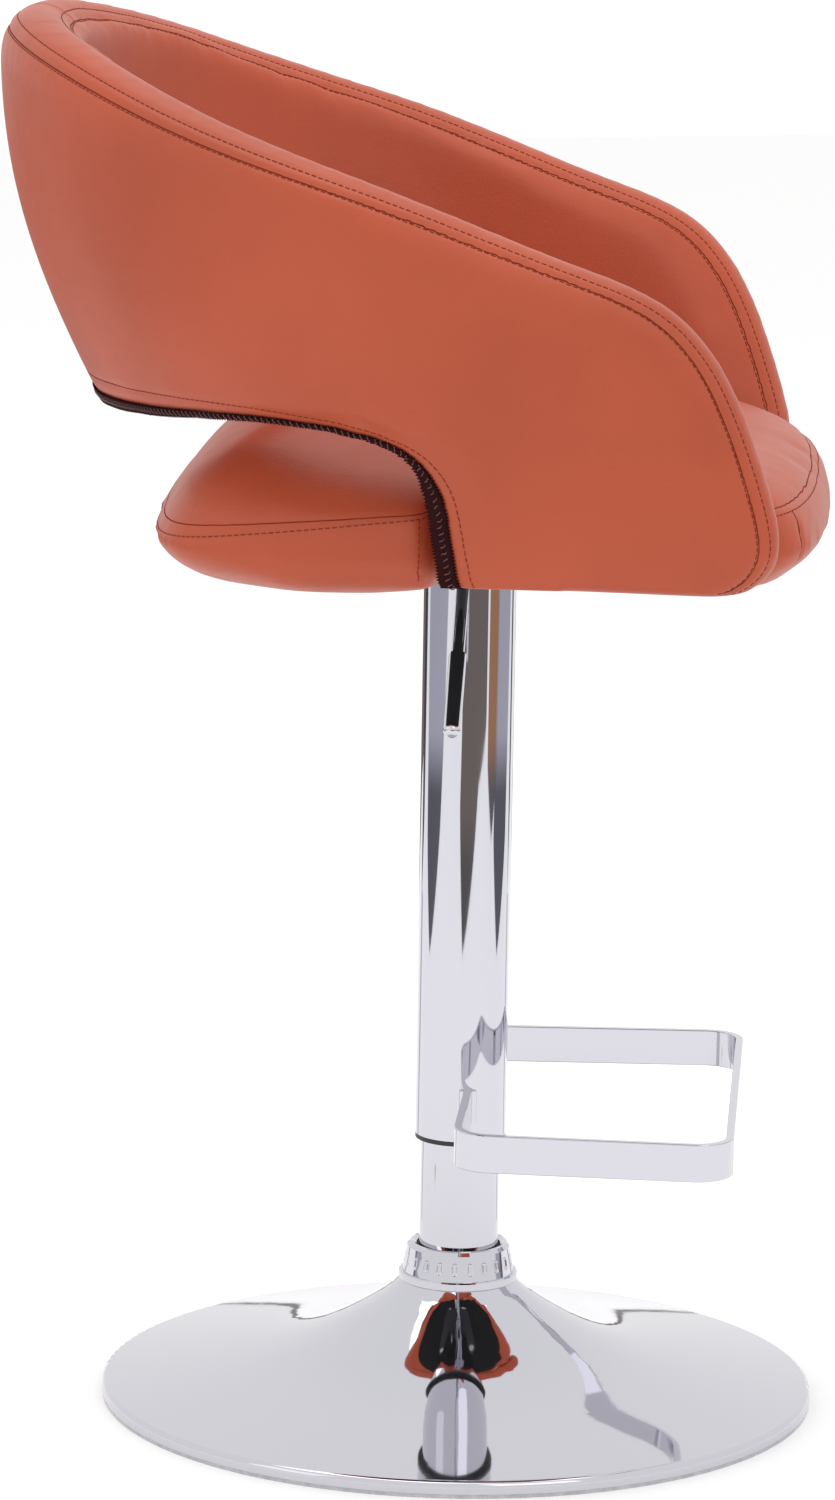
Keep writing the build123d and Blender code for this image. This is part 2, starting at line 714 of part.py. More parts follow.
base_pieces()
bearing_and_rod_pieces()
spring_pieces()
outer_tube_pieces()
plate_and_lever_pieces()
padded_pieces()
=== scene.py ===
"""Looks for the gas-lift bar stool: leather band and seat, seams, zip, chrome, light and camera.

Everything is in metres in the stool's own frame: +Z up, the sitter faces -Y, the lever is on the -X side.
"""

import json
import math

import bmesh
import bpy
import numpy as np
from mathutils import Matrix, Vector
from mathutils.bvhtree import BVHTree
from mathutils.kdtree import KDTree


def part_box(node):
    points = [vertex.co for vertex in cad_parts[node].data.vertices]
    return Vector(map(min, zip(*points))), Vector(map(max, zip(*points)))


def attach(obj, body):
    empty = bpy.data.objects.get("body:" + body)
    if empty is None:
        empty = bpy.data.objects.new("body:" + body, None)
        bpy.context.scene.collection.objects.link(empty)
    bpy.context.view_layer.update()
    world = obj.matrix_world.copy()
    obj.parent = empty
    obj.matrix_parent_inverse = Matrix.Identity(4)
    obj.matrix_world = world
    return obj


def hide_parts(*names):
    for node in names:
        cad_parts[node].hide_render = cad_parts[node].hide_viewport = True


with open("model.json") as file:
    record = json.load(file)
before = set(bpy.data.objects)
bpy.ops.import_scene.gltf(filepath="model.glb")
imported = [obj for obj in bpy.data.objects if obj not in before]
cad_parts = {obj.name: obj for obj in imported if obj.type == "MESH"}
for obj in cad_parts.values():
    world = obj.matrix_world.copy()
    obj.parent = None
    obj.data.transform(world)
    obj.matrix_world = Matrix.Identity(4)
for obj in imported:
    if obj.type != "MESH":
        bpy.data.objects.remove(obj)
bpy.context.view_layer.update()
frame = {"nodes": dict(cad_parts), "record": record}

# ---- camera ----
CAMERA_PLACE = (-3.978, -0.237, 1.191)
CAMERA_HEADING = math.radians(3.856)
CAMERA_PITCH = math.radians(11.01)
CAMERA_ROLL = math.radians(0.942)
CAMERA_LENS = 156.0

# ---- band: (height, half width, rearmost Y) of its outer face, fitted about a middle height ----
LEVEL_MIDDLE = 0.7
BAND_LEVELS = (
    (0.540, 0.236, 0.190),
    (0.655, 0.254, 0.238),
    (0.735, 0.263, 0.272),
    (0.845, 0.268, 0.291),
    (0.905, 0.267, 0.290),
)
BAND_WALL = 0.046

# ---- band unrolled: the run of its quarter round, and the columns from the rear centre to each toe ----
SIDE_SPAN = 0.41
COLUMNS = 110

# ---- band seen from the side, rear first: (Y, height) of its rim and of its lower edge ----
RIM_LINE = (
    (0.266, 0.876),
    (0.217, 0.857),
    (0.157, 0.833),
    (0.109, 0.816),
    (0.046, 0.7955),
    (-0.015, 0.773),
    (-0.075, 0.750),
    (-0.109, 0.7365),
    (-0.131, 0.7235),
    (-0.146, 0.709),
    (-0.162, 0.685),
    (-0.181, 0.640),
    (-0.193, 0.600),
    (-0.1945, 0.583),
    (-0.189, 0.569),
    (-0.173, 0.557),
)
LOWER_LINE = (
    (0.228, 0.6385),
    (0.171, 0.6445),
    (0.122, 0.6475),
    (0.080, 0.645),
    (0.052, 0.640),
    (0.029, 0.6315),
    (0.015, 0.616),
    (0.0095, 0.600),
    (0.004, 0.572),
    (-0.0005, 0.5535),
)

# ---- band's section: the skin starts a little proud of the finished rim, because the cloth sinks back ----
RIM_HEIGHT = 0.028
RIM_PROUD = 0.0040
RIM_TURNS = np.radians((14, 28, 42, 54, 65, 75, 83))
EDGE_ROUND = 0.007
EDGE_IN = 0.003
EDGE_TURNS = np.radians((15, 30, 45, 60, 75, 90))
WALL_ROWS = 22
WALL_START = 1.6 * EDGE_ROUND

# ---- seams: distances below the rim or above the edge, and the (depth, width) of each pull ----
OUTER_SEAM_DOWN = 0.0125
CAP_SEAM_DOWN = 0.0060
INNER_SEAM_DOWN = 0.0115
INNER_CAP_SEAM_DOWN = 0.0050
CROSS_POINTS = 12
CROSS_GAP = 0.001
ZIP_STITCH_UP = 0.0175
BAND_SEAM_PULL = (0.0014, 0.0024)
CAP_SEAM_PULL = (0.0007, 0.0018)
SEAT_SEAM_PULL = (0.0016, 0.0026)
DART_PULL = (0.0016, 0.0024)
LINE_GAP = 0.0007

# ---- seam creases and threads: radius, how flat they lie and how far they lift off the skin; the dark crease tubes are partly the seam's thread line and partly painted shade of the seam's groove ----
BAND_CREASE_R = 0.00042
CREASE_R = 0.00040
CREASE_FLAT = 0.5
CREASE_LIFT = 0.00005
THREAD_R = 0.00035
THREAD_FLAT = 0.8
THREAD_SIDES = 5
THREAD_LIFT = 0.00015
STITCH_GAP = 0.0012
STITCH_PITCH = 6
STITCH_LENGTH = 4

# ---- padding: the skin's mesh size, the cloth's frames and the furthest that it may swell ----
SKIN_VOXEL = 0.005
CLOTH_FRAMES = 20
CROWN_CAP = 0.0042

# ---- zip along the band's lower edge; where the edge drops beside the seat, the tape runs past it ----
TAPE_LOW = 0.0002
TAPE_HIGH = 0.0070
TAPE_BESIDE_LOW = -0.0052
TAPE_BESIDE_HIGH = 0.0085
TAPE_BESIDE_FROM = 0.632
TAPE_BESIDE_TO = 0.608
TAPE_ROWS = 6
TAPE_THICK = 0.0009
TAPE_JAG = 0.0010
TAPE_JAG_TURN = 1.7
TAPE_LIFT = 0.0007
TAPE_HOLD = 0.0055
TAPE_POINTS = 1600
COIL_R = 0.0019
COIL_FLAT = 0.5
COIL_WIRE = 0.00036
COIL_PITCH = 0.0014
COIL_LIFT = 0.0006
COIL_PARTS = 4

# ---- seat: half of its seam line, seen from above, from the rear centre to the nose ----
SEAT_OUTLINE = (
    (0.0, 0.184),
    (0.060, 0.1835),
    (0.110, 0.181),
    (0.150, 0.178),
    (0.180, 0.173),
    (0.203, 0.163),
    (0.2175, 0.147),
    (0.226, 0.122),
    (0.2295, 0.090),
    (0.2295, 0.054),
    (0.2285, 0.034),
    (0.2275, 0.018),
    (0.2235, 0.0105),
    (0.209, 0.007),
    (0.198, 0.001),
    (0.1955, -0.030),
    (0.1945, -0.120),
    (0.1925, -0.165),
    (0.184, -0.186),
    (0.165, -0.1965),
    (0.137, -0.2030),
    (0.105, -0.2070),
    (0.060, -0.2100),
    (0.0, -0.2115),
)
SEAT_POINTS = 260
SEAT_CENTRE = (0.0, -0.015)
SMALLEST_SHARE = 0.03

# ---- seat's section; a fade is two distances from the origin, ahead for the nose and else behind ----
SEAT_BOTTOM = 0.5510
BOTTOM_RINGS = (0.185, 0.14, 0.10, 0.075)
SEAT_BULGE = 0.0075
ARM_FADE = (0.010, 0.030)
NOSE_BULGE = 2.1
NOSE_FADE = (0.165, 0.200)
SEAT_SIDE_Z = 0.0250
SIDE_TURNS = np.radians((0, 15, 30, 45, 60, 75, 90))
SIDE_ROUND = 0.028
REAR_ROUND = 0.056
ROUND_FADE = (0.09, 0.15)
BOXING_RINGS = ((0.0055, 0.012), (0.0035, 0.0065), (0.0012, 0.002))
BOARD_GAP = 0.0005

# ---- seat's top: (inset from the seam, rise above it); the seam slopes down to the rear ----
SEAM_LEVEL = 0.6032
SEAM_TOP = 0.6035
SEAM_SLOPE = 0.087
SEAT_DOME = (
    (0.004, 0.0018),
    (0.010, 0.0056),
    (0.023, 0.0120),
    (0.039, 0.0190),
    (0.057, 0.0265),
    (0.080, 0.0340),
    (0.100, 0.0400),
    (0.125, 0.0440),
    (0.150, 0.0465),
    (0.175, 0.0475),
    (0.196, 0.0480),
)
DOME_RISE = SEAT_DOME[-1][1]

# ---- seat's seams, darts and stitches ----
REAR_SEAM_FROM = 0.004
FRONT_SEAM_TO = -0.160
DART_PLACE = (0.165, -0.206)
DART_FOOT = 0.019
JOINT_PLACE = (0.230, 0.0145)
JOINT_HEAD = 0.004
JOINT_FOOT = 0.001
BOXING_POINTS = 30
REAR_STITCH_SHARE = 1.004
REAR_STITCH_DOWN = 0.0040
REAR_STITCH_SLOPE = 0.036
REAR_SLOPE_FROM = 0.02
FRONT_STITCH_OUT = 0.002
FRONT_STITCH_DOWN = 0.006

LEATHER = (0.42, 0.070, 0.027)
THREAD = (0.22, 0.032, 0.013)
# colour of the dark seam tubes: partly the seam line's own thread, partly painted shade in the seam's groove
SEAM_SHADE_AND_THREAD_COLOR = (0.19, 0.026, 0.010)
ZIP_CLOTH = (0.024, 0.004, 0.005)
CHROME = (0.60, 0.595, 0.645)

# ---- stage ----
FLOOR_SIZE = 30.0
FLOOR_COLOR = (0.985, 0.985, 0.985)
FLOOR_GLOW = 0.06
LIGHT_TARGET = (0, 0, 0.6)
LIGHTS = (
    ("key", (-2.6, -1.6, 2.8), (1.8, 1.8), 9),
    ("fill", (-2.0, 2.6, 1.8), (1.5, 2.0), 4),
    ("top", (0.2, 0.2, 3.0), (2.2, 2.2), 22),
)

# ---- cards that the chrome reflects: name, near and far colour, the distance where they change, and the
# (degrees round the column, distance from it) corners of each; the change takes a blend to either side ----
CARD_HEIGHT = 0.004
BROWN, DEEP = (0.13, 0.10, 0.085), (0.05, 0.045, 0.045)
LILAC, SLATE = (0.42, 0.42, 0.49), (0.07, 0.07, 0.09)
AMBER = (0.36, 0.16, 0.06)
PALE = (0.50, 0.50, 0.56)
CARD_BLEND = 0.35
MID_CARD = ((180, 1.30), (213, 2.00), (231, 2.30), (231, 9), (170, 9), (170, 2.30), (168, 1.90))
CARDS = (
    ("mid", DEEP, BROWN, 1.75, MID_CARD),
    ("far", DEEP, BROWN, 1.75, tuple((turn + 180, reach) for turn, reach in MID_CARD)),
    ("amber", SLATE, AMBER, 2.10, ((250, 1.75), (264, 2.10), (264, 9), (236, 9), (236, 2.10))),
    ("right", SLATE, LILAC, 2.10, ((274, 1.28), (300, 1.75), (312, 9), (265, 9), (257, 1.75))),
    ("edge", SLATE, DEEP, 2.00, ((318, 1.50), (325, 1.90), (325, 9), (315, 9))),
    ("left", SLATE, LILAC, 2.10, ((88, 1.28), (116, 1.80), (140, 9), (62, 9), (72, 1.75))),
    ("rim", SLATE, DEEP, 2.00, ((46, 1.45), (55, 1.85), (57, 9), (36, 9))),
    ("low_right", PALE, PALE, 1.00, ((322, 0.42), (326, 0.42), (322, 1.50), (316, 1.50))),
    ("low_left", PALE, PALE, 1.00, ((44, 0.42), (48, 0.42), (54, 1.50), (46, 1.50))),
    ("drop", DEEP, DEEP, 1.00, ((107, 0.59), (109.5, 0.59), (108.5, 0.53))),
)


# ---- small tools ----
def evenly(line, count):
    """The same line with its points spread evenly along it."""
    steps = np.linalg.norm(np.diff(line, axis=0), axis=1)
    along = np.concatenate([[0], np.cumsum(steps)])
    where = np.linspace(0, along[-1], count)
    return np.stack([np.interp(where, along, column) for column in line.T], axis=1)


def spline(points, count):
    """A smooth natural cubic through the points, as that many evenly spaced places."""
    points = np.array(points, float)
    gaps = np.linalg.norm(np.diff(points, axis=0), axis=1)
    knots = np.concatenate([[0], np.cumsum(gaps)])
    last = len(points) - 1
    system = np.eye(last + 1)
    known = np.zeros_like(points)
    for i in range(1, last):
        system[i, i - 1 : i + 2] = (gaps[i - 1], 2 * (gaps[i - 1] + gaps[i]), gaps[i])
        rise = (points[i + 1] - points[i]) / gaps[i] - (points[i] - points[i - 1]) / gaps[i - 1]
        known[i] = 6 * rise
    bend = np.linalg.solve(system, known)
    where = np.linspace(0, knots[-1], 10 * count)
    piece = np.clip(np.searchsorted(knots, where, side="right") - 1, 0, last - 1)
    h = np.array(gaps)[piece][:, None]
    a = (knots[piece + 1] - where)[:, None] / h
    b = 1 - a
    fine = a * points[piece] + b * points[piece + 1]
    fine += ((a**3 - a) * bend[piece] + (b**3 - b) * bend[piece + 1]) * h**2 / 6
    return evenly(fine, count)


def smooth_step(value, low, high):
    """0 below low, 1 above high, and an easy rise between."""
    share = min(1.0, max(0.0, (value - low) / (high - low)))
    return share * share * (3 - 2 * share)


def mesh_piece(name, points, faces, material, body="seat"):
    """A smooth mesh object that rides on a body."""
    mesh = bpy.data.meshes.new(name)
    mesh.from_pydata([tuple(p) for p in points], [], [tuple(f) for f in faces])
    mesh.validate()
    bm = bmesh.new()
    bm.from_mesh(mesh)
    bmesh.ops.recalc_face_normals(bm, faces=bm.faces)
    bm.to_mesh(mesh)
    bm.free()
    mesh.polygons.foreach_set("use_smooth", [True] * len(mesh.polygons))
    piece = bpy.data.objects.new(name, mesh)
    bpy.context.scene.collection.objects.link(piece)
    mesh.materials.append(material)
    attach(piece, body)
    return piece


def apply_modifier(piece, kind, **values):
    """Adds one modifier and applies it."""
    modifier = piece.modifiers.new(kind, kind)
    for key, value in values.items():
        setattr(modifier, key, value)
    bpy.context.view_layer.objects.active = piece
    with bpy.context.temp_override(object=piece, active_object=piece):
        bpy.ops.object.modifier_apply(modifier=modifier.name)


def grid_faces(columns, rows, closed):
    """Quads of a grid of columns by rows; closed joins the last row to the first."""
    faces = []
    for i in range(columns - 1):
        for k in range(rows if closed else rows - 1):
            k2 = (k + 1) % rows
            faces.append((i * rows + k, (i + 1) * rows + k, (i + 1) * rows + k2, i * rows + k2))
    return faces


def crown(piece, cap):
    """Fills a padded skin by cloth pressure, keeps each point within the cap, and smooths it."""
    apply_modifier(piece, "REMESH", mode="VOXEL", voxel_size=SKIN_VOXEL)
    start = np.array([v.co[:] for v in piece.data.vertices])
    cloth = piece.modifiers.new("cloth", "CLOTH")
    cloth.settings.quality = 5
    cloth.settings.mass = 0.3
    cloth.settings.use_pressure = True
    cloth.settings.uniform_pressure_force = 4.0
    cloth.settings.effector_weights.gravity = 0.0
    scene = bpy.context.scene
    for number in range(1, CLOTH_FRAMES + 1):
        scene.frame_set(number)
    shape = piece.evaluated_get(bpy.context.evaluated_depsgraph_get()).to_mesh()
    moved = np.array([v.co[:] for v in shape.vertices]) - start
    piece.modifiers.remove(cloth)
    scene.frame_set(1)
    far = np.linalg.norm(moved, axis=1, keepdims=True)
    moved *= cap * np.tanh(far / cap) / np.maximum(far, 1e-9)
    piece.data.vertices.foreach_set("co", (start + moved).ravel())
    apply_modifier(piece, "SMOOTH", factor=0.5, iterations=6)
    apply_modifier(piece, "SUBSURF", levels=1)
    piece.data.polygons.foreach_set("use_smooth", [True] * len(piece.data.polygons))


def sew(piece, lines, depth, width):
    """Pulls the skin in along seam lines, as a sewn seam does."""
    seam_points = [point for line in lines for point in line]
    tree = KDTree(len(seam_points))
    for number, point in enumerate(seam_points):
        tree.insert(point, number)
    tree.balance()
    count = len(piece.data.vertices)
    places, normals = np.empty(3 * count), np.empty(3 * count)
    piece.data.vertices.foreach_get("co", places)
    piece.data.vertices.foreach_get("normal", normals)
    places, normals = places.reshape(-1, 3), normals.reshape(-1, 3)
    far = np.array([tree.find(place)[2] for place in places])
    places -= normals * (depth * np.exp(-((far / width) ** 2)))[:, None]
    piece.data.vertices.foreach_set("co", places.ravel())
    piece.data.update()


def skin_tree(piece):
    """A search tree of a piece's faces."""
    mesh = piece.data
    return BVHTree.FromPolygons([v.co for v in mesh.vertices], [tuple(p.vertices) for p in mesh.polygons])


def on_skin(tree, points, lift):
    """The points moved onto the skin and lifted off it, with the skin's normals."""
    placed = []
    for point in points:
        spot, normal, _, _ = tree.find_nearest(Vector(point))
        placed.append((spot + normal * lift, normal))
    return placed


def even_line(points):
    """A 3-D line with its points the line gap apart."""
    line = np.array([tuple(p) for p in points])
    length = np.linalg.norm(np.diff(line, axis=0), axis=1).sum()
    return [Vector(p) for p in evenly(line, max(3, int(length / LINE_GAP) + 1))]


def line_frames(placed):
    """Along, across and up directions at each placed point of a line."""
    frames = []
    for i, (spot, normal) in enumerate(placed):
        ahead = placed[min(i + 1, len(placed) - 1)][0]
        behind = placed[max(i - 1, 0)][0]
        along = (ahead - behind).normalized()
        across = normal.cross(along).normalized()
        frames.append((spot, along, across, normal))
    return frames


def tube(frames, radius, flat=1.0, sides=6):
    """Points and faces of a tube along a line; flat squashes it towards the skin."""
    points = []
    for spot, _, across, up in frames:
        for k in range(sides):
            turn = 2 * math.pi * k / sides
            points.append(spot + across * (radius * math.cos(turn)) + up * (flat * radius * math.sin(turn)))
    faces = grid_faces(len(frames), sides, True)
    faces.append(range(sides))
    faces.append(range(len(points) - sides, len(points)))
    return points, faces


def stitches(frames):
    """Short threads along a line, one every few steps of it."""
    points, faces = [], []
    for start in range(0, len(frames) - STITCH_LENGTH, STITCH_PITCH):
        part = frames[start : start + STITCH_LENGTH + 1]
        part_points, part_faces = tube(part, THREAD_R, THREAD_FLAT, THREAD_SIDES)
        faces += [[index + len(points) for index in face] for face in part_faces]
        points += part_points
    return points, faces


# ---- materials ----
def new_material(name, color, roughness, metallic=0.0, specular=0.5):
    material = bpy.data.materials.new(name)
    material.use_nodes = True
    shader = material.node_tree.nodes["Principled BSDF"]
    shader.inputs["Base Color"].default_value = (*color, 1)
    shader.inputs["Roughness"].default_value = roughness
    shader.inputs["Metallic"].default_value = metallic
    shader.inputs["Specular IOR Level"].default_value = specular
    return material


def add_node(material, kind, **values):
    node = material.node_tree.nodes.new(kind)
    for key, value in values.items():
        if key in node.inputs:
            node.inputs[key].default_value = value
        else:
            setattr(node, key, value)
    return node


def object_space(material, scale=(1, 1, 1)):
    place = add_node(material, "ShaderNodeTexCoord")
    mapping = add_node(material, "ShaderNodeMapping", Scale=scale)
    material.node_tree.links.new(place.outputs["Object"], mapping.inputs["Vector"])
    return mapping.outputs["Vector"]


def noise(material, vector, scale, detail=4.0, roughness=0.5):
    node = add_node(material, "ShaderNodeTexNoise", Scale=scale, Detail=detail, Roughness=roughness)
    material.node_tree.links.new(vector, node.inputs["Vector"])
    return node.outputs["Fac"]


def vary_color(material, factor, dark, light):
    """Base colour that wanders between two shades."""
    ramp = add_node(material, "ShaderNodeValToRGB")
    ramp.color_ramp.elements[0].color = (*dark, 1)
    ramp.color_ramp.elements[0].position = 0.3
    ramp.color_ramp.elements[1].color = (*light, 1)
    ramp.color_ramp.elements[1].position = 0.7
    links = material.node_tree.links
    links.new(factor, ramp.inputs["Fac"])
    shader = material.node_tree.nodes["Principled BSDF"]
    links.new(ramp.outputs["Color"], shader.inputs["Base Color"])


def vary_roughness(material, factor, low, high):
    spread = add_node(material, "ShaderNodeMapRange")
    spread.inputs["To Min"].default_value = low
    spread.inputs["To Max"].default_value = high
    links = material.node_tree.links
    links.new(factor, spread.inputs["Value"])
    links.new(spread.outputs["Result"], material.node_tree.nodes["Principled BSDF"].inputs["Roughness"])


def add_bump(material, factor, distance, strength=1.0, under=None):
    """A bump layer; under is the normal of the layer below it."""
    bump = add_node(material, "ShaderNodeBump", Distance=distance, Strength=strength)
    links = material.node_tree.links
    links.new(factor, bump.inputs["Height"])
    if under is not None:
        links.new(under, bump.inputs["Normal"])
    links.new(bump.outputs["Normal"], material.node_tree.nodes["Principled BSDF"].inputs["Normal"])
    return bump.outputs["Normal"]


def leather_material():
    """Terracotta faux leather: pebbled grain, faint pull lines and an uneven sheen."""
    material = new_material("terracotta_leather", LEATHER, 0.42, specular=0.35)
    dark, light = tuple(c * 0.93 for c in LEATHER), tuple(c * 1.07 for c in LEATHER)
    space = object_space(material)
    grain = add_node(material, "ShaderNodeTexVoronoi", feature="SMOOTH_F1", Scale=620, Smoothness=0.6)
    material.node_tree.links.new(space, grain.inputs["Vector"])
    pull = noise(material, object_space(material, (1, 1, 3)), 26, 3)
    vary_color(material, noise(material, space, 9, 3), dark, light)
    vary_roughness(material, noise(material, space, 60, 5), 0.38, 0.50)
    wide = add_bump(material, pull, 0.0012, 0.22)
    fine = add_bump(material, grain.outputs["Distance"], 0.0003, 0.30, wide)
    add_bump(material, noise(material, space, 1900, 2), 0.0001, 0.25, fine)
    shader = material.node_tree.nodes["Principled BSDF"]
    shader.inputs["Sheen Weight"].default_value = 0.05
    shader.inputs["Sheen Roughness"].default_value = 0.35
    return material


def chrome_material():
    """Bright plating with a trace of polishing haze."""
    material = new_material("bright_chrome", CHROME, 0.03, 1.0)
    space = object_space(material)
    vary_roughness(material, noise(material, space, 35, 5), 0.02, 0.06)
    add_bump(material, noise(material, space, 14, 2), 0.0005, 0.04)
    return material


def plain_material(name, color, roughness, metallic=0.0, scale=200.0, depth=0.0002, specular=0.5):
    """Moulded, painted or machined stuff: small shade changes and a fine surface."""
    material = new_material(name, color, roughness, metallic, specular)
    factor = noise(material, object_space(material), scale, 4)
    vary_color(material, factor, tuple(c * 0.85 for c in color), tuple(c * 1.15 for c in color))
    vary_roughness(material, factor, roughness * 0.85, min(1.0, roughness * 1.2))
    add_bump(material, factor, depth, 0.5)
    return material


def woven_material(name, color, threads):
    """Cloth with slanted threads."""
    material = new_material(name, color, 0.85, specular=0.1)
    weave = add_node(material, "ShaderNodeTexWave", Scale=threads, bands_direction="DIAGONAL")
    material.node_tree.links.new(object_space(material), weave.inputs["Vector"])
    vary_color(material, weave.outputs["Fac"], tuple(c * 0.7 for c in color), tuple(c * 1.3 for c in color))
    add_bump(material, weave.outputs["Fac"], 0.0003, 0.6)
    return material


def plywood_material():
    """Birch ply: long grain streaks."""
    material = new_material("birch_ply", (0.52, 0.36, 0.20), 0.7)
    streak = noise(material, object_space(material, (1, 14, 14)), 12, 6)
    vary_color(material, streak, (0.40, 0.25, 0.13), (0.62, 0.45, 0.27))
    add_bump(material, streak, 0.0004, 0.4)
    return material


materials = {
    "chrome": chrome_material(),
    "faux_leather": leather_material(),
    "zip_cloth": woven_material("zip_cloth", ZIP_CLOTH, 500),
    "zip_plastic": plain_material("zip_plastic", (0.150, 0.065, 0.060), 0.30),
    "zip_metal": plain_material("zip_metal", (0.25, 0.19, 0.10), 0.35, 1.0),
    "black_plastic": plain_material("black_plastic", (0.018, 0.018, 0.018), 0.45),
    "grey_plastic": plain_material("grey_plastic", (0.45, 0.45, 0.47), 0.30),
    "black_steel": plain_material("black_steel", (0.012, 0.012, 0.014), 0.38, 0.0, 900),
    "bare_steel": plain_material("bare_steel", (0.50, 0.50, 0.51), 0.30, 1.0, 300),
    "rubber": plain_material("rubber", (0.015, 0.015, 0.015), 0.7),
    "alloy": plain_material("alloy", (0.65, 0.65, 0.67), 0.30, 1.0),
    "plywood": plywood_material(),
    "dust_cloth": woven_material("dust_cloth", (0.02, 0.02, 0.02), 900),
}
thread = plain_material("thread", THREAD, 0.6, specular=0.15)
# dark tubes laid in the seams: painted shade of each seam's groove, together with the seam line's thread
seam_shade_and_thread = plain_material("seam_shade_and_thread", SEAM_SHADE_AND_THREAD_COLOR, 0.8, specular=0.1)

for sub in frame["record"]["subparts"]:
    node = frame["nodes"][sub["node"]]
    node.data.materials.clear()
    node.data.materials.append(materials[sub["material_slot"]])


# ---- band ----
levels = np.array(BAND_LEVELS)
half_curve = np.polyfit(levels[:, 0] - LEVEL_MIDDLE, levels[:, 1], 4)
rear_curve = np.polyfit(levels[:, 0] - LEVEL_MIDDLE, levels[:, 2], 4)


def wall_size(z, depth):
    """Half width and centre Y of the band's wall at a height and a depth below its outer face."""
    half = np.polyval(half_curve, z - LEVEL_MIDDLE) - depth
    return half, np.polyval(rear_curve, z - LEVEL_MIDDLE) - depth - half


def unrolled_line(line, depth):
    """A side-view line as evenly spaced (place, height) pairs that start at the rear centre.

    The place is 0 at the rear centre and 1 where the side turns straight.
    """
    flat = []
    for y, z in spline(line, 4 * COLUMNS):
        half, centre = wall_size(z, depth)
        if y > centre:
            flat.append((math.acos(min(1.0, (y - centre) / half)) / (math.pi / 2), z))
        else:
            flat.append((1 + (centre - y) / SIDE_SPAN, z))
    flat[0] = (0.0, flat[0][1])
    return evenly(np.array(flat) * (SIDE_SPAN, 1), COLUMNS)


def band_point(run, z, depth, side):
    """The point of the band's wall at an unrolled distance, a height and a depth."""
    half, centre = wall_size(z, depth)
    along = run / SIDE_SPAN
    if along < 1:
        turn = along * math.pi / 2
        return Vector((side * half * math.sin(turn), centre + half * math.cos(turn), z))
    return Vector((side * half, centre - (along - 1) * SIDE_SPAN, z))


rim = unrolled_line(RIM_LINE, BAND_WALL / 2)
lower = unrolled_line(LOWER_LINE, 0.0)
MIDDLE_COLUMN = COLUMNS - 1
ALL_COLUMNS = range(2 * COLUMNS - 1)


def wall_length(column):
    """Distance from the rim to the lower edge along a column."""
    step = abs(column - MIDDLE_COLUMN)
    return float(np.linalg.norm(lower[step] - rim[step]))


def wall_point(column, down, depth):
    """A point at a distance below the rim and a depth below the outer face.

    Columns count from the near arm's toe, over the rear centre, to the far arm's toe.
    """
    side = -1 if column < MIDDLE_COLUMN else 1
    step = abs(column - MIDDLE_COLUMN)
    place = rim[step] + (lower[step] - rim[step]) * (down / wall_length(column))
    return band_point(place[0], place[1], depth, side)


def rim_depth(down):
    """Depth of the rounded rim's outer side at a distance below its finished ridge."""
    rise = 1 - min(1.0, down / RIM_HEIGHT)
    return BAND_WALL / 2 * (1 - math.sqrt(1 - rise * rise))


def section(column):
    """One closed cross-section of the band: lower edge, outer face, rolled rim and inner face."""
    lowest = wall_length(column) - EDGE_IN
    middle = BAND_WALL / 2
    outer = []
    for turn in EDGE_TURNS:
        outer.append((lowest - EDGE_ROUND * (1 - math.cos(turn)), EDGE_ROUND * (1 - math.sin(turn))))
    for down in np.linspace(lowest - WALL_START, RIM_HEIGHT - RIM_PROUD, WALL_ROWS):
        outer.append((down, 0.0))
    for turn in RIM_TURNS:
        down = RIM_HEIGHT * (1 - math.sin(turn)) - RIM_PROUD
        outer.append((down, middle * (1 - math.cos(turn))))
    inner = [(down, BAND_WALL - depth) for down, depth in reversed(outer)]
    return [(lowest, middle), *outer, (-RIM_PROUD, middle), *inner]


def band_cover():
    """The padded band as one closed skin."""
    rings = [section(column) for column in ALL_COLUMNS]
    rows = len(rings[0])
    points = [wall_point(i, down, depth) for i, ring in enumerate(rings) for down, depth in ring]
    faces = grid_faces(len(rings), rows, True)
    for start in (0, (len(rings) - 1) * rows):
        for k in range(1, rows // 2):
            faces.append((start + k, start + k + 1, start + rows - k - 1, start + rows - k))
        faces.append((start, start + 1, start + rows - 1))
    faces = [list(dict.fromkeys(face)) for face in faces]
    return mesh_piece("band_cover", points, faces, materials["faux_leather"])


def band_line(down, inside=False):
    """A line along the whole band at a distance below the rim; inside puts it on the sitter's side."""
    depth = rim_depth(down)
    if inside:
        depth = BAND_WALL - depth
    return even_line([wall_point(column, down, depth) for column in ALL_COLUMNS])


def edge_line(up):
    """A line along the band's outer face at a distance above the lower edge."""
    return even_line([wall_point(column, wall_length(column) - up, 0.0) for column in ALL_COLUMNS])


